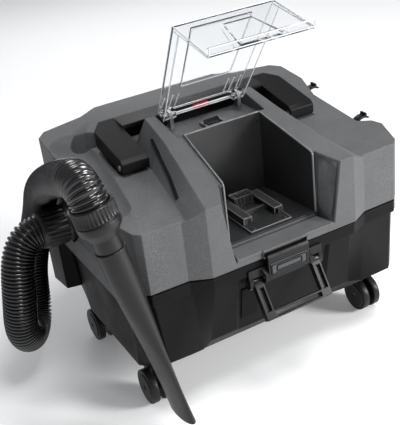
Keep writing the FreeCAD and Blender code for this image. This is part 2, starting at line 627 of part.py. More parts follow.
def build_latch():
    """Wide draw latch in the middle of the front, between the ears of its bracket."""
    half = size("latch_half")
    middle = size("latch_side")
    y0 = -size("latch_pivot_front")
    z0 = size("latch_pivot_height")
    bail_y = -size("bail_pivot_front")
    bail_z = size("bail_pivot_height")
    bail_half = size("bail_half")
    web = Part.makeBox(2 * bail_half + 12, 20, 12, Vector(-bail_half - 6, -15.6, z0 + 0.5))
    shape = web.fuse(Part.makeBox(2 * half + 11, 20, 24, Vector(-half - 5.5, -15.6, z0 - 11.5)))
    for side in (-1, 1):
        near = half + 0.7 if side > 0 else -half - 5.7
        outline = [(0, -14), (-12, -14), (y0 - 4.5, -5), (y0 - 4.5, 5), (-17, 10), (-15, 12), (0, 12)]
        corners = [Vector(near, y, z0 + z) for y, z in outline]
        ear = Part.Face(Part.makePolygon(corners + corners[:1])).extrude(Vector(5, 0, 0))
        # outer lug that carries the far end of the bail pin
        far = bail_half + 0.4 if side > 0 else -bail_half - 5.9
        lug_view = [(0, -8), (-14, -8), (-17.5, -3), (-17.5, 4), (-13, 19), (0, 19)]
        corners = [Vector(far, y, bail_z + z) for y, z in lug_view]
        lug = Part.Face(Part.makePolygon(corners + corners[:1])).extrude(Vector(5.5, 0, 0))
        shape = shape.fuse(ear).fuse(lug)
    room = size("running_gap")
    hole = rod(size("latch_pin_radius") + room, (-60, y0, z0), (60, y0, z0))
    bore = rod(size("bail_pin_radius") + room, (-80, bail_y, bail_z), (80, bail_y, bail_z))
    shape = shape.cut(hole).cut(bore).cut(tub_shape_outer())
    node(moved(feature("bracket", largest(shape)), middle), "latch_bracket")
    start = -half - 5.7
    length = "2 * Sizes.latch_half + 11.4"
    pin = cylinder("latch_pin_bar", "Sizes.latch_pin_radius", length, (start, y0, z0), X_AXIS)
    node(moved(pin, middle), "latch_pin")
    body = [(y0 - 4, -3.5), (y0 - 4, 26.5), (y0 - 2, 30), (y0 + 5.8, 30), (y0 + 5.8, 26.7), (y0 + 1.4, 26.7),
            (y0 + 1.4, 24.5), (y0 + 2.8, 20), (y0 + 2.8, -1), (y0 + 1, -3.5)]
    corners = [Vector(-half, y, z0 + z) for y, z in body]
    lever = Part.Face(Part.makePolygon(corners + corners[:1])).extrude(Vector(2 * half, 0, 0))
    # the hook's tip is a little narrower than the strike's slot
    seat = Part.makeBox(2 * half - 6, 1.2, 17, Vector(-half + 3, y0 - 4, z0 + 1))
    lever = lever.cut(hole).cut(seat)
    node(moved(feature("lever", lever), middle), "latch_lever")
    inlay = block("inlay", ("2 * Sizes.latch_half - 6.4", "1.7", "16.6"), (-half + 3.2, y0 - 4.5, z0 + 1.2))
    node(moved(inlay, middle), "latch_inlay")


def moved(part, side):
    """Shift a finished part sideways."""
    place = part.Placement
    part.Placement = Placement(place.Base + Vector(side, 0, 0), place.Rotation)
    return part


def tub_shape_outer():
    """Solid envelope of the tub's front, used to trim what is fixed to it."""
    return stack([(TUB_BREAK, size("tub_front_floor")), (TUB_TOP, size("tub_body_top"))]).fuse(
        column(RIM_PLAN, size("tub_body_top"), size("tub_rim")))


def build_bail():
    """Pull bail: wide channel-section bow hinged on the latch bracket."""
    y0 = -size("bail_pivot_front")
    z0 = size("bail_pivot_height")
    half = size("bail_half")
    reach = size("bail_reach")
    band = size("bail_band")
    middle = size("latch_side")
    arms = []
    for side in (-1, 1):
        x = half - band if side > 0 else -half
        eye = Part.makeCylinder(5.8, band, Vector(x, y0, z0), Vector(1, 0, 0))
        arm = Part.makeBox(band, 9, reach, Vector(x, y0 - 4.5, z0 - reach))
        groove = Part.makeBox(band - 5, 5, reach - 15, Vector(x + 2.5, y0 - 5.5, z0 - reach + 6))
        arms.append(eye.fuse(arm.cut(groove)))
    bar = Part.makeBox(2 * half, 9, 11, Vector(-half, y0 - 4.5, z0 - reach - 2))
    grip = Part.makeBox(2 * (half - band) - 4, 5, 6, Vector(-half + band + 2, y0 - 5.5, z0 - reach + 0.5))
    shape = arms[0].fuse(arms[1]).fuse(bar.cut(grip))
    bore = rod(size("bail_pin_radius") + size("running_gap"), (-80, y0, z0), (80, y0, z0))
    bail = feature("bail_bow", shape.cut(bore).removeSplitter())
    lean = Rotation(Vector(1, 0, 0), -size("bail_angle"))
    spot = Vector(0, y0, z0)
    bail.Placement = Placement(spot - lean.multVec(spot), lean)
    node(moved(bail, middle), "pull_bail")
    pins = []
    for side in (-1, 1):
        start = half - band - 4 if side > 0 else -half - 4
        pins.append(rod(size("bail_pin_radius"), (start, y0, z0), (start + band + 8, y0, z0)))
    node(moved(feature("bail_pins", Part.makeCompound(pins)), middle), "bail_pins")
    plate = Part.makeBox(25, 1.2, 50, Vector(-64, 8.6, 112))
    lean = Placement(Vector(), Rotation(Vector(1, 0, 0), 10.8), Vector(-52, 8.6, 112))
    tag = feature("label", plate)
    tag.Placement = lean
    node(tag, "front_label_plate")


def build_casters():
    """Four twin-wheel swivel casters."""
    radius = size("wheel_radius")
    trail = size("caster_trail")
    gap = size("wheel_gap")
    width = size("wheel_width")
    names = ("front_left", "front_right", "rear_left", "rear_right")
    for (x, y), name in zip(caster_places(), names):
        axle_y = y - trail
        stem = cylinder("stem_" + name, "Sizes.stem_radius", "18", (x, y, 56))
        collar = cylinder("collar_" + name, "8", "3", (x, y, 54.6))
        arm_view = [(axle_y - 7, 18), (axle_y + 7, 18), (y + 9, 46), (y + 9, 55), (y - 10, 55),
                    (axle_y - 4, 40)]
        corners = [Vector(x - size("hood_half"), py, pz) for py, pz in arm_view]
        web = Part.Face(Part.makePolygon(corners + corners[:1])).extrude(Vector(2 * size("hood_half"), 0, 0))
        bore_radius = size("axle_radius") + size("running_gap")
        bore = rod(bore_radius, (x - 20, axle_y, radius), (x + 20, axle_y, radius))
        leg = feature("leg_" + name, web.cut(bore))
        node(fuse("hood_" + name, stem, collar, leg), "caster_fork_" + name)
        discs = []
        for side in (-1, 1):
            start = x + gap / 2 if side > 0 else x - gap / 2 - width
            disc = cylinder("disc_%s_%d" % (name, side), "Sizes.wheel_radius", "Sizes.wheel_width",
                            (start, axle_y, radius), X_AXIS)
            hub_start = x + gap / 2 + width if side > 0 else x - gap / 2 - width - 1.5
            hub = cylinder("hub_%s_%d" % (name, side), "Sizes.wheel_radius - 6", "1.5",
                           (hub_start, axle_y, radius), X_AXIS)
            discs += [disc, hub]
        hole = cylinder("hole_" + name, "Sizes.axle_radius", "40", (x - 20, axle_y, radius), X_AXIS)
        node(cut("wheels_" + name, fuse("discs_" + name, *discs), hole), "caster_wheels_" + name)
        axle = cylinder("axle_" + name, "Sizes.axle_radius", "2 * Sizes.wheel_width + Sizes.wheel_gap",
                        (x - gap / 2 - width, axle_y, radius), X_AXIS)
        node(axle, "caster_axle_" + name)


def build_motor():
    """Motor, fan and shaft in the head, filter, cage and float below it."""
    y = size("motor_back")
    plate_top = size("plate_height") + size("plate_thick")
    fan_base = plate_top + 3
    scroll = cylinder("scroll_out", "Sizes.fan_radius + 6", "Sizes.fan_height + 9", (0, y, plate_top))
    room = cylinder("scroll_in", "Sizes.fan_radius + 3", "Sizes.fan_height + 6", (0, y, plate_top))
    throat = cylinder("scroll_throat", "8", "60", (0, y, plate_top - 10))
    node(cut("scroll", scroll, room, throat), "fan_cover")
    disc = cylinder("fan_disc", "Sizes.fan_radius", "2", (0, y, fan_base))
    hub = cylinder("fan_hub", "12", "Sizes.fan_height", (0, y, fan_base))
    blades = []
    blade = ("Sizes.fan_radius - 13", "2", "Sizes.fan_height - 2")
    for i in range(9):
        turn = Rotation(Vector(0, 0, 1), 40.0 * i + 20)
        start = Vector(0, y, fan_base) + turn.multVec(Vector(11, -1, 0))
        blades.append(block("fan_blade_%d" % i, blade, start, turn))
    bore = cylinder("fan_bore", "Sizes.shaft_radius", "40", (0, y, fan_base - 10))
    node(cut("fan", fuse("fan_body", disc, hub, *blades), bore), "fan_impeller")
    shaft = cylinder("shaft", "Sizes.shaft_radius", "Sizes.motor_height + 14", (0, y, fan_base))
    node(shaft, "motor_shaft")
    motor_z = plate_top + size("fan_height") + 9.5
    can = cylinder("can_out", "Sizes.motor_radius", "Sizes.motor_height", (0, y, motor_z))
    can_bore = cylinder("can_bore", "Sizes.shaft_radius + 0.3", "Sizes.motor_height + 10",
                        (0, y, motor_z - 5))
    node(cut("motor_can_body", can, can_bore), "motor_can")
    top = size("plate_height")
    cage_out = cylinder("cage_out", "Sizes.cage_radius", "60", (0, y, top - 60))
    cage_in = cylinder("cage_in", "Sizes.cage_radius - 2.5", "70", (0, y, top - 57))
    windows = []
    for i in range(5):
        turn = Rotation(Vector(0, 0, 1), 36.0 * i)
        start = Vector(0, y, top - 48) + turn.multVec(Vector(-size("cage_radius") - 5, -5, 0))
        windows.append(block("cage_slot_%d" % i, ("2 * Sizes.cage_radius + 10", "10", "34"), start, turn))
    node(cut("cage", cage_out, cage_in, *windows), "filter_cage")
    ball = doc.addObject("Part::Sphere", "ball")
    ball.setExpression("Radius", "Sizes.float_radius")
    ball.Placement = Placement(Vector(0, y, top - 57 + size("float_radius") + 0.1), Rotation())
    node(ball, "float_ball")
    outer = cylinder("filter_out", "Sizes.filter_radius", "Sizes.filter_height",
                     (0, y, top - size("filter_height") - 0.5))
    inner = cylinder("filter_in", "Sizes.filter_radius - Sizes.filter_wall", "Sizes.filter_height + 2",
                     (0, y, top - size("filter_height") - 1.5))
    node(cut("filter_sleeve", outer, inner), "cartridge_filter")
    cap = cylinder("filter_cap_disc", "Sizes.filter_radius + 3", "5",
                   (0, y, top - size("filter_height") - 5.5))
    knob = cylinder("filter_cap_knob", "12", "8", (0, y, top - size("filter_height") - 13.5))
    node(fuse("filter_end", cap, knob), "filter_end_cap")
    places = ((-90, 30), (90, 30), (-150, 120), (150, 120), (-120, 285), (120, 285))
    screws = [cylinder("plate_screw_%d" % i, "3.5", "8", (x, back, top - 4))
              for i, (x, back) in enumerate(places)]
    node(fuse("plate_screws", *screws), "plate_screws")


def build_ports():
    """Inlet port for the hose cuff and blower port at the back."""
    y = size("port_back")
    z = size("port_height")
    left = Rotation(Vector(0, 1, 0), -90)
    tube = cylinder("inlet_out", "Sizes.port_bore + Sizes.port_wall", "44", (-178, y, z), left)
    hole = cylinder("inlet_hole", "Sizes.port_bore", "60", (-175, y, z), left)
    node(cut("inlet", tube, hole), "inlet_port")
    bend = 24.0
    outer = 20.5
    inner = outer - size("port_wall")
    centre = Vector(-178, y, z - bend)
    ring = Part.makeTorus(bend, outer, centre, Vector(0, 1, 0), 0, 360, 360)
    hollow = Part.makeTorus(bend, inner, centre, Vector(0, 1, 0), 0, 360, 360)
    corner = Part.makeBox(60, 60, 60, Vector(-178, y - 30, z - bend))
    fall = Part.makeCylinder(outer, 16, Vector(-178 + bend, y, z - bend - 16))
    fall_room = Part.makeCylinder(inner, 20, Vector(-178 + bend, y, z - bend - 18))
    elbow = ring.common(corner).fuse(fall).cut(hollow.common(corner)).cut(fall_room)
    node(feature("elbow", largest(elbow)), "inlet_elbow")
    bz = size("blower_height")
    pipe = cylinder("blower_out", "Sizes.blower_bore + Sizes.port_wall", "Sizes.blower_length + 16",
                    (0, 314, bz), Y_AXIS)
    flange = cylinder("blower_flange", "Sizes.blower_bore + 8", "2.5", (0, 328.3, bz), Y_AXIS)
    bore = cylinder("blower_hole", "Sizes.blower_bore", "60", (0, 300, bz), Y_AXIS)
    node(cut("blower", fuse("blower_body", pipe, flange), bore), "blower_port")


def clip_shape(x, y, z):
    """Spring clip on the right waist: a C that opens outwards, with turned-out tips."""
    inner = size("clip_radius")
    outer = inner + 3
    along = Vector(0, 1, 0)
    ring = Part.makeCylinder(outer, 12, Vector(x, y, z), along)
    bore = Part.makeCylinder(inner, 20, Vector(x, y - 3, z), along)
    mouth = Part.makeBox(40, 20, 1.7 * inner, Vector(x + 3, y - 4, z - 0.85 * inner))
    foot = Part.makeBox(16, 12, 12, Vector(x - outer - 8, y, z - 6))
    tip = Part.makeBox(3, 12, 7, Vector(x + 2.2, y, z + outer - 3.5))
    return ring.fuse(foot).fuse(tip).cut(bore).cut(mouth).cut(head_shape()).removeSplitter()


def build_clips():
    """Two tool clips on the right side."""
    for name, place in (("front", (204.0, 80, 286)), ("rear", (210.0, 206, 296))):
        node(feature("clip_" + name, largest(clip_shape(*place))), "tool_clip_" + name)


# ---------------------------------------------------------------- hose
# Points of the hose's centre line, from the inlet cuff to the tool cuff.
HOSE_ROUTE = [
    (-246, 200, 233), (-262, 200, 233), (-277, 199, 227), (-289, 196, 212), (-297, 192, 190),
    (-305, 188, 149), (-311, 193, 105), (-305, 203, 80), (-294, 221, 66), (-281, 242, 66),
    (-270, 259, 82), (-266, 265, 108), (-262, 268, 140), (-250, 270, 178), (-238, 264, 214),
    (-232, 256, 240), (-231, 240, 268), (-230.5, 212, 291), (-231, 172, 312), (-234, 130, 331),
    (-238, 92, 347), (-239.4, 66.4, 356.8), (-241.4, 46.2, 365.4), (-241.5, 32.8, 364.5),
    (-240.5, 21.2, 357.9), (-238.72, 13.63, 346.93), (-236.4, 11.71, 333.86)]
TOOL_TOP = Vector(-238.2, 13.2, 344)
TOOL_TIP = Vector(-182, -33, 28)


def hose_path(points):
    """Straight runs joined by tangent arcs, as one wire, and the arc radii."""
    pts = [Vector(*p) for p in points]
    edges = []
    radii = []
    last = pts[0]
    for before, corner, after in zip(pts, pts[1:], pts[2:]):
        back = before - corner
        ahead = after - corner
        run = min(back.Length, ahead.Length)
        back.normalize()
        ahead.normalize()
        turn = math.pi - math.acos(max(-1.0, min(1.0, back.dot(ahead))))
        trim = 0.45 * run
        radii.append(trim / math.tan(turn / 2))
        start = corner + back * trim
        end = corner + ahead * trim
        chord = back + ahead
        chord.normalize()
        depth = radii[-1] * (1 / math.cos(turn / 2) - 1)
        middle = corner + chord * depth
        edges.append(Part.LineSegment(last, start).toShape())
        edges.append(Part.Arc(start, middle, end).toShape())
        last = end
    edges.append(Part.LineSegment(last, pts[-1]).toShape())
    return Part.Wire(edges), radii


def build_hose():
    """Corrugated hose as a plain tube, its cuffs, adapter and crevice nozzle."""
    path, radii = hose_path(HOSE_ROUTE)
    radius = size("hose_diameter") / 2
    inner = radius - size("hose_wall")
    start = Vector(*HOSE_ROUTE[0])
    heading = Vector(*HOSE_ROUTE[1]) - start

    def sweep(r):
        ring = Part.Wire([Part.Circle(start, heading, r).toShape()])
        return path.makePipeShell([ring], True, False)

    tube = sweep(radius).cut(sweep(inner))
    ideal = math.pi * (radius ** 2 - inner ** 2) * path.Length
    print("hose length %.1f mm, radii %s" % (path.Length, ["%.0f" % r for r in radii]))
    print("hose volume %.0f of %.0f mm3" % (tube.Volume, ideal))
    node(feature("hose_tube", tube), "vacuum_hose")
    y = size("port_back")
    z = size("port_height")
    left = Rotation(Vector(0, 1, 0), -90)
    cuff = cylinder("cuff_a_out", "Sizes.cuff_radius", "48", (-208, y, z), left)
    bore = cylinder("cuff_a_bore", "Sizes.port_bore + Sizes.port_wall", "60", (-200, y, z), left)
    socket = cylinder("cuff_a_socket", "Sizes.hose_diameter / 2 + 0.3", "30", (-245.6, y, z), left)
    node(cut("cuff_a", cuff, bore, socket), "hose_cuff_inlet")
    axis = TOOL_TIP - TOOL_TOP
    turn = Rotation(Vector(0, 0, 1), axis)
    axis.normalize()
    head = cylinder("cuff_b_out", "Sizes.cuff_radius", "Sizes.tool_cuff_length", TOOL_TOP, turn)
    neck_at = TOOL_TOP + axis * size("tool_cuff_length")
    neck = cone("cuff_b_cone", "Sizes.cuff_radius", "Sizes.adapter_radius + 3", "Sizes.tool_cone_length",
                neck_at, turn)
    hollow = cylinder("cuff_b_bore", "Sizes.adapter_radius - 2.5", "60", TOOL_TOP - axis * 2, turn)
    mouth = cylinder("cuff_b_socket", "Sizes.hose_diameter / 2 + 0.9", "30", TOOL_TOP - axis * 19.2, turn)
    node(cut("cuff_b", fuse("cuff_b_body", head, neck), hollow, mouth), "hose_cuff_tool")
    tube_at = neck_at + axis * size("tool_cone_length")
    barrel = cylinder("adapter_out", "Sizes.adapter_radius", "Sizes.adapter_length", tube_at, turn)
    inside = cylinder("adapter_in", "Sizes.adapter_radius - 2.5", "30", tube_at - axis * 2, turn)
    node(cut("adapter", barrel, inside), "nozzle_adapter")
    node(feature("nozzle", nozzle_shape(axis)), "crevice_nozzle")


def nozzle_shape(axis):
    """Crevice nozzle: round socket blending to a flat slanted mouth."""
    radius = size("nozzle_radius")
    wall = size("nozzle_wall")
    base = TOOL_TOP + axis * (size("tool_cuff_length") + size("tool_cone_length") + size("adapter_length"))
    length = (TOOL_TIP - base).Length
    turn = Rotation(Vector(0, 0, 1), axis)

    def oval(along, half_wide, half_thin, shift):
        ring = Part.Ellipse(Vector(0, 0, 0), half_wide, half_thin).toShape()
        loop_wire = Part.Wire([ring])
        loop_wire.Placement = Placement(Vector(0, shift, along), Rotation())
        return loop_wire

    def body(less):
        rings = [oval(0 if less == 0 else -1, radius + 0.1 - less, radius - less, 0),
                 oval(45, radius + 0.1 - less, radius - less, 0),
                 oval(105, radius + 1.5 - less, radius - 4.5 - less, 0),
                 oval(length + (0 if less == 0 else 1), radius + 2.5 - less, 9 - less, 0)]
        return Part.makeLoft(rings, True, False)

    shape = body(0).cut(body(wall))
    # slanted mouth
    knife = Part.makeBox(80, 80, 60, Vector(-40, -40, 0))
    knife.Placement = Placement(Vector(0, 0, length - 14), Rotation(Vector(0, 1, 0), 24))
    shape = shape.cut(knife)
    shape.Placement = Placement(base, turn)
    return shape


build_shells()
build_bay()
build_lid()
build_handle()
build_switch()
build_latch()
build_bail()
build_casters()
build_motor()
build_ports()
build_clips()
build_hose()
doc.recompute()

failed = [o.Name for o in doc.Objects if "Invalid" in o.State or "Error" in o.State]
for part in nodes:
    shape = part.Shape
    if shape.isNull() or not shape.isValid() or not shape.Solids:
        failed.append(part.Label)
if failed:
    raise RuntimeError("failed objects: %s" % failed)

os.makedirs("parts", exist_ok=True)
box = FreeCAD.BoundBox()
for part in nodes:
    part.Shape.exportStep("parts/%s.step" % part.Label)
    box.add(part.Shape.BoundBox)
    print("%-24s solids %d volume %.1f cm3" % (part.Label, len(part.Shape.Solids), part.Shape.Volume / 1000))
print("whole box", box)
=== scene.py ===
"""Compact cordless shop vacuum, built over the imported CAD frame.

Sizes are metres unless a name or comment says mm. Places given to at() are mm.
"""
import json
import math

import bmesh
import bpy
from mathutils import Matrix, Vector
from mathutils.bvhtree import BVHTree


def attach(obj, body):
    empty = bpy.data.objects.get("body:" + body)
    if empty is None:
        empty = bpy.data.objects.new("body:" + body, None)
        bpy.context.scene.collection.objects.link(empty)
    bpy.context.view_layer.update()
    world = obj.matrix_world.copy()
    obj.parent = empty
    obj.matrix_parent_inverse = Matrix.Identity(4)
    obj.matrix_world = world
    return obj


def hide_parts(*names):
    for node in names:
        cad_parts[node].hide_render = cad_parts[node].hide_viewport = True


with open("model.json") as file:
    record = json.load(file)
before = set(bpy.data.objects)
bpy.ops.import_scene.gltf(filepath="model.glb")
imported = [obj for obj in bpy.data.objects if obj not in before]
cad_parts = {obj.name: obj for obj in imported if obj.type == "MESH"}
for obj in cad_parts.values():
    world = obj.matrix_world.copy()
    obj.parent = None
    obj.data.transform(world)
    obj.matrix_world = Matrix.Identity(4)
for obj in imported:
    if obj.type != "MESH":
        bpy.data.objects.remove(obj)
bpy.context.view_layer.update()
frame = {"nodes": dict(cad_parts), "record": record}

MM = 1000                      # mm in a metre
ORIGIN_BACK = 149.7            # mm from the front face of the head to the frame's origin


def at(x, y, z):
    """A point given in mm from the middle of the head's front face, at floor level."""
    return Vector((x / MM, (y - ORIGIN_BACK) / MM, z / MM))


# ---------------------------------------------------------------- camera, floor and light
CAMERA_LENS = 72.0             # mm, on a sensor 36 mm wide
CAMERA_PLACE = (-506.7, -806.6, 766.5)
CAMERA_TURN = (61.992, 6.275, -29.526)      # degrees round X, Y and Z
FLOOR_REACH = 30.0             # half the floor's side, far enough to fill the view
WORLD_COLOUR = (0.93, 0.95, 1.0, 1)
WORLD_STRENGTH = 0.36
LIGHTS = (                     # name, place, aim, size in m, watts
    ("key", (1.8, -1.8, 1.1), (0, 0, 0.2), 0.7, 76),
    ("top", (0.2, -0.7, 2.3), (0, 0, 0.2), 0.8, 32),
    ("back", (0.6, 1.9, 1.2), (0, 0, 0.3), 1.0, 7))


def build_camera():
    """The photograph's viewpoint, from the front left and above."""
    data = bpy.data.cameras.new("camera")
    data.lens = CAMERA_LENS
    data.sensor_width = 36.0
    camera = bpy.data.objects.new("camera", data)
    bpy.context.scene.collection.objects.link(camera)
    camera.location = at(*CAMERA_PLACE)
    camera.rotation_euler = [math.radians(angle) for angle in CAMERA_TURN]
    bpy.context.scene.camera = camera


def area_light(name, place, aim, size, power):
    """A square soft light that faces aim."""
    data = bpy.data.lights.new(name, "AREA")
    data.energy = power
    data.size = size
    light = bpy.data.objects.new(name, data)
    light.location = place
    light.rotation_euler = (Vector(aim) - Vector(place)).to_track_quat("-Z", "Y").to_euler()
    bpy.context.scene.collection.objects.link(light)


def build_stage():
    """White floor, pale sky and three lights of a product photograph."""
    mesh = bpy.data.meshes.new("floor")
    reach = FLOOR_REACH
    corners = [(-reach, -reach, 0), (reach, -reach, 0), (reach, reach, 0), (-reach, reach, 0)]
    mesh.from_pydata(corners, [], [(0, 1, 2, 3)])
    floor = bpy.data.objects.new("floor", mesh)
    bpy.context.scene.collection.objects.link(floor)
    floor.data.materials.append(floor_material())
    world = bpy.data.worlds.new("studio")
    world.use_nodes = True
    world.node_tree.nodes["Background"].inputs["Color"].default_value = WORLD_COLOUR
    world.node_tree.nodes["Background"].inputs["Strength"].default_value = WORLD_STRENGTH
    bpy.context.scene.world = world
    for light in LIGHTS:
        area_light(*light)
    bpy.context.scene.view_settings.view_transform = "Standard"


# ---------------------------------------------------------------- material helpers
def new_material(name):
    """An empty material with one Principled shader."""
    material = bpy.data.materials.new(name)
    material.use_nodes = True
    tree = material.node_tree
    tree.nodes.clear()
    out = tree.nodes.new("ShaderNodeOutputMaterial")
    shader = tree.nodes.new("ShaderNodeBsdfPrincipled")
    tree.links.new(shader.outputs["BSDF"], out.inputs["Surface"])
    return material, tree, shader


def noise(tree, scale, detail=3.0, roughness=0.55):
    """Noise fixed to the piece, with scale grains to the metre."""
    place = tree.nodes.new("ShaderNodeTexCoord")
    node = tree.nodes.new("ShaderNodeTexNoise")
    node.inputs["Scale"].default_value = scale
    node.inputs["Detail"].default_value = detail
    node.inputs["Roughness"].default_value = roughness
    tree.links.new(place.outputs["Object"], node.inputs["Vector"])
    return node.outputs["Fac"]


def remap(tree, value, low, high, to_low, to_high):
    """The value's range from low to high stretched to another range."""
    node = tree.nodes.new("ShaderNodeMapRange")
    node.inputs["From Min"].default_value = low
    node.inputs["From Max"].default_value = high
    node.inputs["To Min"].default_value = to_low
    node.inputs["To Max"].default_value = to_high
    tree.links.new(value, node.inputs["Value"])
    return node.outputs["Result"]


def multiply(tree, first, second):
    """The product of two linked values."""
    node = tree.nodes.new("ShaderNodeMath")
    node.operation = "MULTIPLY"
    tree.links.new(first, node.inputs[0])
    tree.links.new(second, node.inputs[1])
    return node.outputs["Value"]


def blend_colours(tree, factor, first, second):
    """A mix of two colours, each a plain tuple or a linked one."""
    node = tree.nodes.new("ShaderNodeMix")
    node.data_type = "RGBA"
    tree.links.new(factor, node.inputs["Factor"])
    # the node's sockets 6 and 7 are its pair of colours
    for value, socket in ((first, node.inputs[6]), (second, node.inputs[7])):
        if isinstance(value, tuple):
            socket.default_value = (*value, 1)
        else:
            tree.links.new(value, socket)
    return node.outputs[2]


def tint(colour, amount):
    """The colour made darker or lighter, no channel above 1."""
    return tuple(min(1.0, c * amount) for c in colour)


def corner_factor(tree, rounded_normal):
    """Towards 1 where a rounded normal leaves the flat face's own, which is at its corners."""
    flat = tree.nodes.new("ShaderNodeNewGeometry")
    dot = tree.nodes.new("ShaderNodeVectorMath")
    dot.operation = "DOT_PRODUCT"
    tree.links.new(rounded_normal, dot.inputs[0])
    tree.links.new(flat.outputs["Normal"], dot.inputs[1])
    return remap(tree, dot.outputs["Value"], 0.985, 0.86, 0.0, 1.0)


def plastic(name, colour, rough, grain=900.0, depth=0.00012, edge=0.0012, edge_highlight=1.7, mottle=0.10,
            gloss=0.25, speck=1.45):
    """Moulded plastic: fine spark-eroded grain, faint mottling, rounded edges with a painted highlight.

    grain is in grains to the metre and depth is its height; edge is the radius of the rounded look;
    the value after edge is how far a painted highlight lightens the rounded edges, and speck and mottle
    say how far the grain and the broad patches leave the colour.
    """
    material, tree, shader = new_material(name)
    fine = noise(tree, grain, 3.0, 0.6)
    broad = noise(tree, 22.0, 4.0)
    factor = remap(tree, broad, 0.35, 0.65, 0.0, 1.0)
    body = blend_colours(tree, factor, tint(colour, 1 - mottle), tint(colour, 1 + mottle))
    dots = remap(tree, fine, 0.52, 0.68, 0.0, 0.7)
    body = blend_colours(tree, dots, body, tint(colour, speck))
    soft = tree.nodes.new("ShaderNodeBevel")
    soft.samples = 4
    soft.inputs["Radius"].default_value = edge
    corner = corner_factor(tree, soft.outputs["Normal"])
    # painted highlight: the rounded corners made lighter in colour, in patches
    patchy = remap(tree, noise(tree, 140.0, 4.0), 0.42, 0.62, 0.25, 1.0)
    body = blend_colours(tree, multiply(tree, corner, patchy), body, tint(colour, edge_highlight))
    tree.links.new(body, shader.inputs["Base Color"])
    tree.links.new(remap(tree, broad, 0.3, 0.7, rough - 0.06, rough + 0.06), shader.inputs["Roughness"])
    bump = tree.nodes.new("ShaderNodeBump")
    bump.inputs["Strength"].default_value = 0.6
    bump.inputs["Distance"].default_value = depth
    tree.links.new(fine, bump.inputs["Height"])
    tree.links.new(soft.outputs["Normal"], bump.inputs["Normal"])
    tree.links.new(bump.outputs["Normal"], shader.inputs["Normal"])
    shader.inputs["Specular IOR Level"].default_value = gloss
    return material


def metal(name, colour, rough):
    """Drawn or turned metal with fine lines."""
    material, tree, shader = new_material(name)
    place = tree.nodes.new("ShaderNodeTexCoord")
    stretch = tree.nodes.new("ShaderNodeMapping")
    stretch.inputs["Scale"].default_value = (300, 3000, 3000)
    tree.links.new(place.outputs["Object"], stretch.inputs["Vector"])
    lines = tree.nodes.new("ShaderNodeTexNoise")
    lines.inputs["Scale"].default_value = 1.0
    tree.links.new(stretch.outputs["Vector"], lines.inputs["Vector"])
    fac = lines.outputs["Fac"]
    body = blend_colours(tree, fac, tint(colour, 0.8), tint(colour, 1.15))
    tree.links.new(body, shader.inputs["Base Color"])
    tree.links.new(remap(tree, fac, 0.3, 0.7, rough - 0.08, rough + 0.1), shader.inputs["Roughness"])
    shader.inputs["Metallic"].default_value = 1.0
    return material


def clear_material():
    """Clear polycarbonate with a slight grey tint and a few fine scratches."""
    material, tree, shader = new_material("clear_plastic")
    shader.inputs["Transmission Weight"].default_value = 1.0
    shader.inputs["IOR"].default_value = 1.16
    body = blend_colours(tree, noise(tree, 30.0), (0.93, 0.95, 0.96), (0.985, 0.99, 0.995))
    tree.links.new(body, shader.inputs["Base Color"])
    scratch = remap(tree, noise(tree, 260.0, 6.0, 0.7), 0.45, 0.75, 0.03, 0.16)
    tree.links.new(scratch, shader.inputs["Roughness"])
    return material


def painted_lid_highlight():
    """Painted highlight on the clear lid's lines: a pale colour and a little glow of their own, for the
    light that the edges of clear plastic catch.
    """
    material = plastic("lid_edge_highlight", (0.66, 0.67, 0.68), 0.22, 900, 0.00002, 0.0003, 1.1, 0.05, gloss=0.6)
    # painted highlight: the glow keeps the lines pale where no light falls
    glow(material.node_tree.nodes["Principled BSDF"], 0.10)
    return material


def glow(shader, strength):
    """A little white light of the surface's own."""
    shader.inputs["Emission Color"].default_value = (1.0, 1.0, 1.0, 1.0)
    shader.inputs["Emission Strength"].default_value = strength


def floor_material():
    """Matt white paper, lit a little from within so that it stays white to the picture's edge."""
    material, tree, shader = new_material("floor")
    body = blend_colours(tree, noise(tree, 3.0), (0.93, 0.93, 0.93), (0.96, 0.96, 0.96))
    tree.links.new(body, shader.inputs["Base Color"])
    shader.inputs["Roughness"].default_value = 0.75
    glow(shader, 0.12)
    return material
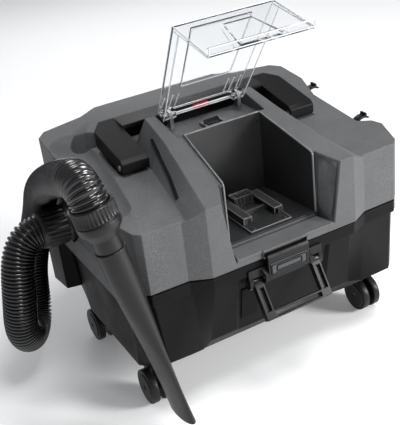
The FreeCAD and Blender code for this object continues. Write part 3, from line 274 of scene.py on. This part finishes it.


# ---------------------------------------------------------------- the object's materials
# the details of each entry include how far plastic() lightens the rounded edges with a painted highlight
PLASTICS = {                   # colour, roughness, then the other values that plastic() is given
    "tub_black": ((0.0046, 0.0046, 0.0049), 0.46, dict(
        grain=700, depth=0.00015, edge=0.0022, edge_highlight=3.0, gloss=0.10)),
    "housing_grey": ((0.085, 0.086, 0.088), 0.55, dict(
        grain=1050, depth=0.0003, edge=0.0024, edge_highlight=1.5, gloss=0.35, speck=2.4)),
    "bay_grey": ((0.021, 0.0214, 0.0222), 0.33, dict(
        grain=1500, depth=0.00005, edge=0.0018, edge_highlight=2.4, gloss=0.4)),
    # pale grey of the thin beads along the bay's edges: painted highlight
    "bay_rim": ((0.17, 0.172, 0.175), 0.34, dict(
        grain=1200, depth=0.00004, edge=0.0004, edge_highlight=1.3, gloss=0.5)),
    "seal_rubber": ((0.004, 0.004, 0.004), 0.7, dict(grain=500, depth=0.0001)),
    "rail_plastic": ((0.035, 0.035, 0.036), 0.34, dict(
        grain=1200, depth=0.00005, edge=0.0010, edge_highlight=3.6, gloss=0.5)),
    "red_label": ((0.62, 0.035, 0.06), 0.4, dict(
        grain=400, depth=0.00003, edge=0.0003, edge_highlight=1.2, mottle=0.2)),
    "grip_black": ((0.0045, 0.0045, 0.0048), 0.40, dict(
        grain=900, depth=0.00010, edge=0.0024, edge_highlight=4.0, gloss=0.16)),
    "latch_black": ((0.004, 0.004, 0.0044), 0.32, dict(
        grain=1500, depth=0.00003, edge=0.0014, edge_highlight=5.5, gloss=0.3)),
    "latch_grey": ((0.075, 0.077, 0.08), 0.5, dict(
        grain=1100, depth=0.0001, edge=0.0008, edge_highlight=1.8)),
    "label_black": ((0.002, 0.002, 0.002), 0.45, dict(
        grain=300, depth=0.00001, edge=0.0004, edge_highlight=1.5, gloss=0.08)),
    "switch_black": ((0.008, 0.008, 0.0085), 0.3, dict(
        grain=900, depth=0.00002, edge=0.0008, edge_highlight=3.0)),
    "board_green": ((0.02, 0.12, 0.04), 0.4, dict(grain=500, depth=0.00004, edge=0.0004)),
    "inner_plastic": ((0.012, 0.012, 0.013), 0.5, dict()),
    "filter_paper": ((0.70, 0.69, 0.64), 0.9, dict(grain=250, depth=0.0004, edge=0.0005)),
    "clip_black": ((0.006, 0.006, 0.0065), 0.40, dict(
        grain=900, depth=0.00008, edge=0.0012, edge_highlight=3.0)),
    "hose_black": ((0.0030, 0.0030, 0.0033), 0.22, dict(
        grain=600, depth=0.00004, edge=0.0003, edge_highlight=1.6, mottle=0.15, gloss=0.75)),
    "tool_black": ((0.0060, 0.0060, 0.0064), 0.36, dict(
        grain=800, depth=0.00012, edge=0.0016, edge_highlight=3.4, gloss=0.4)),
    "wheel_black": ((0.007, 0.007, 0.0075), 0.40, dict(
        grain=700, depth=0.0001, edge=0.0014, edge_highlight=3.2)),
    "caster_black": ((0.006, 0.006, 0.0065), 0.32, dict(
        grain=900, depth=0.00008, edge=0.0014, edge_highlight=3.2)),
}
METALS = {                     # colour, roughness
    "contact_metal": ((0.62, 0.52, 0.32), 0.3),
    "screw_steel": ((0.20, 0.20, 0.21), 0.35),
    "pin_steel": ((0.45, 0.45, 0.46), 0.3),
    "motor_metal": ((0.62, 0.62, 0.64), 0.35),
    "axle_steel": ((0.35, 0.35, 0.36), 0.3),
}


def build_materials():
    """Every material by its slot's name, and each CAD node in the material of its slot."""
    made = {"clear_plastic": clear_material(), "lid_edge_highlight": painted_lid_highlight()}
    for name, (colour, rough, details) in PLASTICS.items():
        made[name] = plastic(name, colour, rough, **details)
    for name, (colour, rough) in METALS.items():
        made[name] = metal(name, colour, rough)
    slots = {row["node"]: row["material_slot"] for row in frame["record"]["subparts"]}
    for name, node in frame["nodes"].items():
        node.data.materials.clear()
        node.data.materials.append(made[slots[name]])
    return made


# ---------------------------------------------------------------- hose
HOSE_ROUTE = (
    (-246, 200, 233), (-262, 200, 233), (-277, 199, 227), (-289, 196, 212), (-297, 192, 190),
    (-305, 188, 149), (-311, 193, 105), (-305, 203, 80), (-294, 221, 66), (-281, 242, 66),
    (-270, 259, 82), (-266, 265, 108), (-262, 268, 140), (-250, 270, 178), (-238, 264, 214),
    (-232, 256, 240), (-231, 240, 268), (-230.5, 212, 291), (-231, 172, 312), (-234, 130, 331),
    (-238, 92, 347), (-239.4, 66.4, 356.8), (-241.4, 46.2, 365.4), (-241.5, 32.8, 364.5),
    (-240.5, 21.2, 357.9), (-238.72, 13.63, 346.93), (-236.4, 11.71, 333.86))


def route_points(route):
    """Points along the smooth route, read from its NURBS spline."""
    curve = bpy.data.curves.new("route", "CURVE")
    curve.dimensions = "3D"
    spline = curve.splines.new("NURBS")
    spline.points.add(len(route) - 1)
    for point, place in zip(spline.points, route):
        point.co = (*at(*place), 1)
    spline.order_u = 3
    spline.use_endpoint_u = True
    spline.resolution_u = 32
    holder = bpy.data.objects.new("route", curve)
    bpy.context.scene.collection.objects.link(holder)
    bpy.context.view_layer.update()
    mesh = bpy.data.meshes.new_from_object(holder)
    points = [v.co.copy() for v in mesh.vertices]
    bpy.data.objects.remove(holder)
    bpy.data.meshes.remove(mesh)
    bpy.data.curves.remove(curve)
    return points


def lengths(points):
    """Distance along the line at each of its points."""
    total = [0.0]
    for a, b in zip(points, points[1:]):
        total.append(total[-1] + (b - a).length)
    return total


def swept(name, points, radius_at, step, sides):
    """Tube round the points with radius_at(distance), its rings turned without twist."""
    along = lengths(points)
    count = max(2, round(along[-1] / step))
    mesh = bmesh.new()
    rings = []
    side = None
    index = 0
    for i in range(count + 1):
        distance = along[-1] * i / count
        while index < len(along) - 2 and along[index + 1] < distance:
            index += 1
        part = (distance - along[index]) / max(1e-9, along[index + 1] - along[index])
        centre = points[index].lerp(points[index + 1], part)
        before = points[max(0, index - 1)]
        after = points[min(len(points) - 1, index + 2)]
        forward = (after - before).normalized()
        if side is None:
            side = forward.orthogonal().normalized()
        side = (side - forward * side.dot(forward)).normalized()
        other = forward.cross(side)
        radius = radius_at(distance)
        ring = []
        for k in range(sides):
            angle = 2 * math.pi * k / sides
            ring.append(mesh.verts.new(centre + (side * math.cos(angle) + other * math.sin(angle)) * radius))
        rings.append(ring)
    for first, second in zip(rings, rings[1:]):
        for k in range(sides):
            n = (k + 1) % sides
            face = mesh.faces.new((first[k], first[n], second[n], second[k]))
            face.smooth = True
    mesh.faces.new(list(reversed(rings[0])))
    mesh.faces.new(rings[-1])
    return finish_mesh(mesh, name)


def finish_mesh(mesh, name):
    """The bmesh as a new object of the scene, its faces turned outwards."""
    data = bpy.data.meshes.new(name)
    bmesh.ops.recalc_face_normals(mesh, faces=mesh.faces)
    mesh.to_mesh(data)
    mesh.free()
    piece = bpy.data.objects.new(name, data)
    bpy.context.scene.collection.objects.link(piece)
    return piece


RIB_PITCH = 0.0050
RIB_FULLNESS = 0.75            # below 1 the ribs are broad and the grooves narrow
RIB_STEPS = 8                  # rings of the mesh to each rib
HOSE_SIDES = 56
HOSE_OUTER = 0.0235            # radius on the ribs
HOSE_INNER = 0.0190            # radius in the grooves


def hose_radius(distance):
    """The hose's outer radius at a distance along it."""
    phase = (distance / RIB_PITCH) % 1.0
    rib = abs(math.sin(math.pi * phase)) ** RIB_FULLNESS
    return HOSE_INNER + (HOSE_OUTER - HOSE_INNER) * rib


def build_hose(material):
    """The corrugated hose along its route, fixed to the vacuum's body."""
    points = route_points(HOSE_ROUTE)
    hose = swept("corrugated_hose", points, hose_radius, RIB_PITCH / RIB_STEPS, HOSE_SIDES)
    hose.data.materials.append(material)
    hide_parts("vacuum_hose")
    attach(hose, "vacuum_body")
    lengths(points)[-1]


# ---------------------------------------------------------------- shared piece helpers
BEAD_STEP = 0.0012             # between the rings of a thin moulding
BEAD_SIDES = 8
CORNER_STEPS = 6               # straight bits in a moulding's rounded corner
WELD_GAP = 0.00002             # corners of a CAD mesh nearer than this become one
FLAT_WITHIN = 1.0              # degrees; faces flatter than this are joined before the edges are rounded


def register(piece, look, slot, body, *nodes):
    """Give a piece its finish and its body, and hide the CAD nodes that it stands for."""
    piece.data.materials.clear()
    piece.data.materials.append(materials[look])
    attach(piece, body)
    for name in nodes:
        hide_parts(name)
    return piece


def rounded(points, radius):
    """The polyline with each inner corner turned into a short smooth curve."""
    result = [points[0]]
    for before, corner, after in zip(points, points[1:], points[2:]):
        near = corner + (before - corner).normalized() * min(radius, (before - corner).length * 0.45)
        far = corner + (after - corner).normalized() * min(radius, (after - corner).length * 0.45)
        for i in range(CORNER_STEPS + 1):
            t = i / CORNER_STEPS
            result.append(near * (1 - t) ** 2 + corner * 2 * t * (1 - t) + far * t * t)
    return result + [points[-1]]


def bead(name, points, radius, closed=False, corner=0.004):
    """A thin round moulding along a path."""
    if closed:
        points = points + [points[0]]
    line = rounded(points, corner) if corner else points
    return swept(name, line, lambda distance: radius, BEAD_STEP, BEAD_SIDES)


def lathe(name, base, axis, profile, sides=144, ribs=36):
    """Turned body with grip ribs round an axis.

    Each profile row is the distance along the axis, the radius and the ribs' depth there, in mm.
    """
    side = axis.orthogonal().normalized()
    other = axis.cross(side)
    mesh = bmesh.new()
    rings = []
    for along, radius, depth in profile:
        ring = []
        for k in range(sides):
            angle = 2 * math.pi * k / sides
            wave = 0.5 - 0.5 * math.cos(ribs * angle)
            reach = (radius - depth * min(1.0, 1.6 * wave)) / MM
            spoke = side * math.cos(angle) + other * math.sin(angle)
            ring.append(mesh.verts.new(base + axis * along / MM + spoke * reach))
        rings.append(ring)
    for first, second in zip(rings, rings[1:] + rings[:1]):
        for k in range(sides):
            n = (k + 1) % sides
            face = mesh.faces.new((first[k], first[n], second[n], second[k]))
            face.smooth = True
    piece = finish_mesh(mesh, name)
    split_sharp(piece, 40)
    return piece


def split_sharp(piece, degrees):
    """Smooth shading with crisp edges above an angle."""
    for polygon in piece.data.polygons:
        polygon.use_smooth = True
    piece.data.set_sharp_from_angle(angle=math.radians(degrees))


def soften(node, width, angle=30, segments=2):
    """Real rounded edges on a carried-over CAD node."""
    weld = node.modifiers.new("weld", "WELD")
    weld.merge_threshold = WELD_GAP
    flat = node.modifiers.new("flat", "DECIMATE")
    flat.decimate_type = "DISSOLVE"
    flat.angle_limit = math.radians(FLAT_WITHIN)
    bevel = node.modifiers.new("bevel", "BEVEL")
    bevel.width = width
    bevel.segments = segments
    bevel.limit_method = "ANGLE"
    bevel.angle_limit = math.radians(angle)
    bevel.use_clamp_overlap = True
    bevel.harden_normals = True


# ---------------------------------------------------------------- both ends of the hose
TOOL_TOP = at(-238.2, 13.2, 344)
TOOL_TIP = at(-182, -33, 28)
TOOL_AXIS = (TOOL_TIP - TOOL_TOP).normalized()
INLET_BASE = at(-208, 200, 233)
INLET_AXIS = Vector((-1, 0, 0))


def build_cuffs():
    """Ribbed cuffs at the tool and at the inlet, and the ring where the nozzle joins its adapter."""
    tool = [(0, 23.6, 0), (0, 25.2, 0), (1.2, 26.6, 0.2), (3, 27, 1.5), (17, 27, 1.5), (18.2, 26.6, 0.2),
            (18.8, 25.2, 0), (20.4, 25.2, 0), (21, 26.8, 0), (22.5, 27, 0), (30, 27, 0), (31.2, 26.4, 0),
            (37, 21.8, 0), (42, 19.8, 0), (42, 14.4, 0), (19.4, 14.4, 0), (10.2, 24.4, 0), (0.4, 24.4, 0)]
    inlet = [(0, 22.2, 0), (0, 25.6, 0), (1.4, 26.9, 0), (9, 27, 0), (10, 25.8, 0), (11.5, 25.8, 0),
             (12.5, 27, 1.6), (38, 27, 1.6), (39.5, 25.9, 0.3), (43, 25.9, 0), (47, 24.8, 0), (48, 24.2, 0),
             (48, 23.8, 0), (37.6, 23.8, 0), (37.6, 22.2, 0)]
    ring = [(60.2, 17.2, 0), (60.2, 18.6, 0), (60.8, 19.2, 0), (63.6, 19.2, 0), (64.2, 18.6, 0),
            (64.2, 17.2, 0)]
    cuff = lathe("tool_cuff_ribbed", TOOL_TOP, TOOL_AXIS, tool)
    register(cuff, "tool_black", "tool_black", "vacuum_body", "hose_cuff_tool")
    port = lathe("inlet_cuff_ribbed", INLET_BASE, INLET_AXIS, inlet, 144, 24)
    register(port, "tool_black", "tool_black", "vacuum_body", "hose_cuff_inlet")
    collar = lathe("nozzle_joint_ring", TOOL_TOP, TOOL_AXIS, ring, 96)
    register(collar, "tool_black", "tool_black", "vacuum_body")
    return [cuff, port, collar]


# ---------------------------------------------------------------- clear lid
LID_PIVOT = (170, 352)         # mm back and up of the hinge pin
LID_OPENED = -68               # degrees from shut to the open pose at rest
LID_SLOPE = math.radians(12.1)      # fall of the shut lid from its hinge to its bend
LID_BEND = 68                  # degrees between the top and the front flap
LID_RISE = 12                  # mm from the pin up to the top face
LID_BEHIND = 7                 # mm of the top behind the pin
LID_AHEAD = 163                # mm of the top before the pin
LID_FLAP = 86                  # mm, length of the front flap
LID_LIP = 9                    # mm that the lip at the flap's foot stands out
LID_HALF_BACK = 64.0           # mm, half the width at the back edge
LID_HALF_FRONT = 73.0          # mm, half the width at the bend
LINE_SCALE = 0.75              # on the radii of the lid's raised lines


def lid_sides():
    """The shut lid's side view: its directions, then its back edge, bend and foot, in mm from the pin."""
    along = Vector((0, -math.cos(LID_SLOPE), -math.sin(LID_SLOPE)))
    up = Vector((0, -math.sin(LID_SLOPE), math.cos(LID_SLOPE)))
    turn = Matrix.Rotation(math.radians(LID_BEND), 3, "X")
    drop = turn @ along
    out = turn @ up
    back = up * LID_RISE - along * LID_BEHIND
    bend = up * LID_RISE + along * LID_AHEAD
    return along, up, drop, out, back, bend, bend + drop * LID_FLAP


def lid_lines():
    """Raised lines of the open lid: the kind, the points and the unscaled radius of each."""
    along, up, drop, out, back, bend, foot = lid_sides()
    opened = Matrix.Rotation(math.radians(LID_OPENED), 3, "X")
    widen = (LID_HALF_FRONT - LID_HALF_BACK) / (back.y - bend.y)

    def half(point):
        return LID_HALF_BACK + widen * (back.y - point.y)

    def place(point, x):
        turned = opened @ Vector((0, point.y, point.z))
        return at(x, LID_PIVOT[0] + turned.y, LID_PIVOT[1] + turned.z)

    def row(points, side, inset):
        return [place(p, side * (half(p) - inset)) for p in points]

    lines = []
    for side in (-1, 1):
        lines.append(("edge", row((back, bend, foot), side, 0.8), 0.0011))
        lines.append(("flange", row((back - up * 15, bend - up * 15), side, 1.0), 0.0009))
        lines.append(("cheek", row((bend - out * 6, foot - out * 3, foot), side, 1.0), 0.0009))
        spine = (back + along * 5 + up * 1.5, back + along * 26 - up * 0.5, back + along * 34 - up * 2)
        for offset in (5.0, 16.0, 25.0):
            x = side * (LID_HALF_BACK - offset)
            lines.append(("rib", [place(p, x) for p in spine], 0.0011))
    for point in (back, bend, foot, foot + out * LID_LIP):
        lines.append(("cross", row((point,), -1, 1) + row((point,), 1, 1), 0.0010))
    lip = foot + out * LID_LIP
    for side in (-1, 1):
        x = side * (half(foot) - 1)
        lines.append(("lip", [place(foot, x), place(lip, x)], 0.0009))
    near = back + along * 48 - up * 1.5
    far = bend - along * 14 - up * 1.5
    window = [place(near, -38), place(near, 38), place(far, 44), place(far, -44), place(near, -38)]
    lines.append(("window", window, 0.0008))
    top = bend + drop * 30 - out
    low = foot - out
    lines.append(("scoop", [place(low, -38), place(top, -24), place(top, 24), place(low, 38)], 0.0009))
    for rise in (2, 11):
        mark = up * rise - along * 2
        lines.append(("strip", [place(mark, -46), place(mark, 46)], 0.0010))
    return lines


def build_lid_detail():
    """Raised lines of the clear lid, pale with painted highlight: its edges, embossed window, front scoop
    and hinge ribs.
    """
    for index, (kind, points, radius) in enumerate(lid_lines()):
        corner = 0.008 if kind in ("window", "scoop") else 0.002
        piece = bead("lid_%s_%d" % (kind, index), points, radius * LINE_SCALE, corner=corner)
        register(piece, "lid_edge_highlight", "clear_plastic", "lid")


# ---------------------------------------------------------------- head, bay and front
def surface_finder(*names):
    """A function that drops a point, in mm, onto the named CAD nodes from above, and lifts it a little."""
    trees = []
    for name in names:
        mesh = frame["nodes"][name].data
        corners = [v.co.copy() for v in mesh.vertices]
        trees.append(BVHTree.FromPolygons(corners, [tuple(p.vertices) for p in mesh.polygons]))

    def drop(x, y, lift=0.0):
        start = at(x, y, 700)
        best = None
        for tree in trees:
            hit = tree.ray_cast(start, Vector((0, 0, -1)))[0]
            if hit and (best is None or hit.z > best.z):
                best = hit
        return best + Vector((0, 0, lift / MM))
    return drop


BAY_HALF = 67.0                # mm, half the bay's width at its front
BAY_BACK = (58.3, 123, 338.2)  # mm, the bay's rear top corner
RAIL_TOP = 237.6               # mm above the floor


def build_bay_detail():
    """Thin pale beads round the bay, along the rail edges and round the base plate's border: painted
    highlight on these edges.
    """
    x, y, z = BAY_BACK
    for side, name in ((-1, "left"), (1, "right")):
        front = side * BAY_HALF
        path = [at(front, 14.2, 225), at(front, 14.2, 310.4), at(side * x, y, z)]
        piece = bead("bay_rim_" + name, path, 0.0014, corner=0.006)
        register(piece, "bay_rim", "bay_grey", "vacuum_body")
    back = bead("bay_rim_back", [at(-x, y, z), at(x, y, z)], 0.0012, corner=0)
    register(back, "bay_rim", "bay_grey", "vacuum_body")
    for side in (-1, 1):
        inside = side * 18
        outside = side * 30
        lip = [at(inside, 38, RAIL_TOP), at(inside, 100, RAIL_TOP)]
        outer = [at(outside, 38, RAIL_TOP + 0.2), at(outside, 100, RAIL_TOP + 0.2)]
        nose = [at(inside, 37.6, 230), at(inside, 37.6, RAIL_TOP), at(outside, 37.6, RAIL_TOP),
                at(outside, 37.6, 228)]
        for kind, path in (("lip", lip), ("outer", outer), ("nose", nose)):
            piece = bead("rail_%s_%d" % (kind, side), path, 0.0006, corner=0.001)
            register(piece, "bay_rim", "rail_plastic", "vacuum_body")
    border = [at(-31.5, 18.6, 227), at(31.5, 18.6, 227), at(31.5, 100, 227), at(-31.5, 100, 227)]
    piece = bead("base_plate_border", border, 0.0006, closed=True, corner=0.002)
    register(piece, "bay_rim", "bay_grey", "vacuum_body")
    box = [at(-15, 84, 243), at(15, 84, 243), at(15, 100, 243), at(-15, 100, 243)]
    piece = bead("terminal_border", box, 0.0005, closed=True, corner=0.001)
    register(piece, "bay_rim", "rail_plastic", "vacuum_body")


def build_head_detail():
    """Thin dark strip along the slope of the head's left block: painted shade of the recessed strip there.
    """
    drop = surface_finder("head_housing")
    middle = [drop(x, y, 0.1) for x, y in ((-92, 150), (-99, 115), (-107, 78), (-119, 36))]
    section = ((-0.0036, -0.001), (-0.0036, 0.0004), (0.0036, 0.0004), (0.0036, -0.001))
    mesh = bmesh.new()
    rows = [[mesh.verts.new(p + Vector((aside, 0, lift))) for p in middle] for aside, lift in section]
    for first, second in zip(rows, rows[1:]):
        for k in range(len(first) - 1):
            mesh.faces.new((first[k], first[k + 1], second[k + 1], second[k]))
    piece = finish_mesh(mesh, "left_block_strip")
    register(piece, "tub_black", "housing_grey", "vacuum_body")


def build_front_detail():
    """Outlined panel on the latch lever, and a smaller outline inside it."""
    middle = -4.0
    y = -24.9
    for name, half, low, high in (("outer", 27.0, 184, 197.5), ("inner", 19.0, 187, 194.5)):
        path = [at(middle - half, y, low), at(middle + half, y, low), at(middle + half, y, high),
                at(middle - half, y, high)]
        piece = bead("latch_panel_" + name, path, 0.0009, closed=True, corner=0.002)
        register(piece, "latch_black", "latch_black", "latch")


SOFT_EDGES = {                 # edge radius of each CAD node that is shown with real rounded edges
    "crevice_nozzle": 0.0005, "head_housing": 0.0016, "dust_tub": 0.0014, "carry_handle": 0.0034,
    "latch_lever": 0.0008, "latch_bracket": 0.0008, "pull_bail": 0.0014, "bay_sill_strike": 0.0012,
    "tool_holders": 0.0014, "battery_base_plate": 0.0006, "battery_rails": 0.0005,
    "tool_clip_front": 0.0008, "tool_clip_rear": 0.0008}
for corner in ("front_left", "front_right", "rear_left", "rear_right"):
    SOFT_EDGES["caster_fork_" + corner] = 0.0012
    SOFT_EDGES["caster_wheels_" + corner] = 0.0014


build_camera()
build_stage()
materials = build_materials()
tool_end = build_cuffs()
build_hose(materials["hose_black"])
build_lid_detail()
build_bay_detail()
build_head_detail()
build_front_detail()
for name, width in SOFT_EDGES.items():
    soften(frame["nodes"][name], width)
